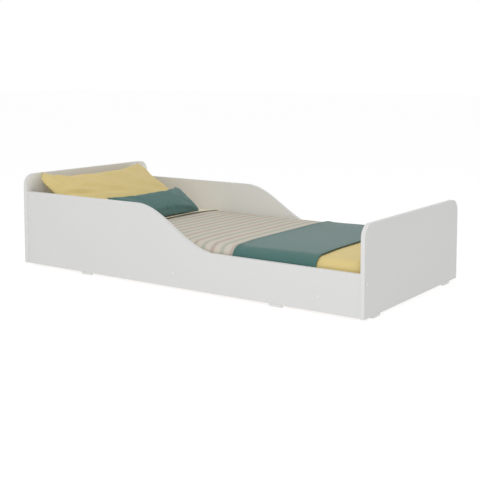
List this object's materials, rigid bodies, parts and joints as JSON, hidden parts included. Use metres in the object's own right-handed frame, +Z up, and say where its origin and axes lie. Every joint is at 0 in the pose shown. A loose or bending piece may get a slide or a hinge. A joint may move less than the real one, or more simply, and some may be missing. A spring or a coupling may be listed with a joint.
{
  "type": "toddler bed",
  "caption": "Low white board toddler bed with curved side rails that guard the head end and drop to a low entry, with mattress, striped quilt, throw, pillow and cushion.",
  "frame": {"origin": "on the floor under the middle of the bed", "axes": "+X along the bed from head to foot, +Z up, -Y towards the front long side"},
  "size_m": [1.563, 0.748, 0.374],
  "materials": {
    "white_board": "satin white melamine-faced board",
    "white_plastic": "moulded white plastic",
    "pine": "planed unfinished pine",
    "beech_dowel": "fluted raw beech",
    "zinc_screw": "zinc plated",
    "mattress_cover": "knitted mattress ticking over foam",
    "yellow_cotton": "plain weave cotton",
    "striped_cotton": "printed cotton, cream with fine pastel stripes",
    "teal_cotton": "brushed cotton"
  },
  "bodies": {
    "frame": {"headboard": "white_board", "footboard": "white_board", "side_rail_front": "white_board", "side_rail_back": "white_board", "base_slat_1": "pine", "base_slat_2": "pine", "base_slat_3": "pine", "base_slat_4": "pine", "base_slat_5": "pine", "base_slat_6": "pine", "beam_foot_back_cap": "white_plastic", "beam_foot_back_screw": "zinc_screw", "beam_foot_front_cap": "white_plastic", "beam_foot_front_screw": "zinc_screw", "beam_head_back_cap": "white_plastic", "beam_head_back_screw": "zinc_screw", "beam_head_front_cap": "white_plastic", "beam_head_front_screw": "zinc_screw", "beam_middle_back_cap": "white_plastic", "beam_middle_back_screw": "zinc_screw", "beam_middle_front_cap": "white_plastic", "beam_middle_front_screw": "zinc_screw", "corner_foot_back_low_cap": "white_plastic", "corner_foot_back_low_screw": "zinc_screw", "corner_foot_front_low_cap": "white_plastic", "corner_foot_front_low_screw": "zinc_screw", "corner_head_back_high_cap": "white_plastic", "corner_head_back_high_screw": "zinc_screw", "corner_head_back_low_cap": "white_plastic", "corner_head_back_low_screw": "zinc_screw", "corner_head_front_high_cap": "white_plastic", "corner_head_front_high_screw": "zinc_screw", "corner_head_front_low_cap": "white_plastic", "corner_head_front_low_screw": "zinc_screw", "cross_beam_foot": "pine", "cross_beam_head": "pine", "cross_beam_middle": "pine", "dowel_foot_back_high": "beech_dowel", "dowel_foot_back_low": "beech_dowel", "dowel_foot_front_high": "beech_dowel", "dowel_foot_front_low": "beech_dowel", "dowel_head_back_high": "beech_dowel", "dowel_head_back_low": "beech_dowel", "dowel_head_front_high": "beech_dowel", "dowel_head_front_low": "beech_dowel", "glide_footboard_back": "white_plastic", "glide_footboard_front": "white_plastic", "glide_headboard_back": "white_plastic", "glide_headboard_front": "white_plastic", "glide_rail_back_foot": "white_plastic", "glide_rail_back_head": "white_plastic", "glide_rail_front_foot": "white_plastic", "glide_rail_front_head": "white_plastic"},
    "mattress": {"mattress": "mattress_cover", "fitted_sheet": "yellow_cotton", "striped_quilt": "striped_cotton", "throw_blanket": "teal_cotton"},
    "pillow": {"pillow": "yellow_cotton"},
    "cushion": {"cushion": "teal_cotton"}
  },
  "joints": [
    {"name": "mattress_lift", "type": "slide", "parent": "frame", "child": "mattress", "axis": [0, 0, 1], "range_m": [0, 0.35]},
    {"name": "pillow_lift", "type": "slide", "parent": "mattress", "child": "pillow", "axis": [0, 0, 1], "range_m": [0, 0.3]},
    {"name": "cushion_lift", "type": "slide", "parent": "pillow", "child": "cushion", "axis": [0, 0, 1], "range_m": [0, 0.3]}
  ]
}
